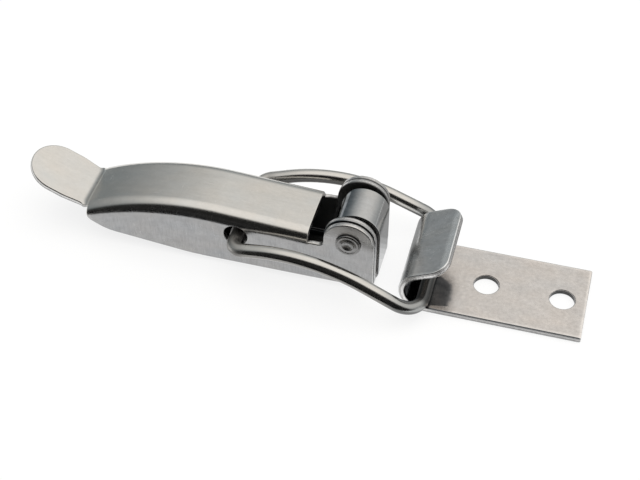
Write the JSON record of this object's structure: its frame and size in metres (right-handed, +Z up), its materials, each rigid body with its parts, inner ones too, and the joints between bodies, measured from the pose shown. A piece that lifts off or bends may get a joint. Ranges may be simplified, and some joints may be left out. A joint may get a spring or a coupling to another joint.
{
  "type": "over centre toggle latch",
  "caption": "Pressed steel toggle latch: a channel lever riveted to a base bracket draws a bent wire bail over a rolled hook on a flat catch plate.",
  "frame": {"origin": "on the mounting plane, straight below the pivot rivet and midway across the latch", "axes": "+X along the latch from the pivot to the catch plate, +Y across it, +Z up from the mounting plane; the latch is closed"},
  "size_m": [0.1261, 0.0318, 0.0197],
  "materials": {
    "lever_steel": "rolled stainless sheet, smooth, faint length-wise grain",
    "wire_steel": "bright drawn stainless wire",
    "plate_steel": "satin stainless sheet, mottled",
    "base_steel": "smooth stainless sheet",
    "rivet_steel": "smooth headed stainless rivet"
  },
  "bodies": {
    "frame": {"base": "base_steel", "rivet": "rivet_steel", "catch_plate": "plate_steel"},
    "lever": {"lever": "lever_steel"},
    "bail": {"bail": "wire_steel"}
  },
  "joints": [
    {"name": "lever_hinge", "type": "hinge", "parent": "frame", "child": "lever", "pos_m": [0, 0, 0.014], "axis": [0, 1, 0], "range_deg": [0, 100]},
    {"name": "bail_hinge", "type": "hinge", "parent": "lever", "child": "bail", "pos_m": [-0.0251, 0, 0.0091], "axis": [0, 1, 0], "range_deg": [-51, 0]}
  ],
  "couplings": [
    {"joint": "bail_hinge", "follows": "lever_hinge", "ratio": -0.51}
  ]
}
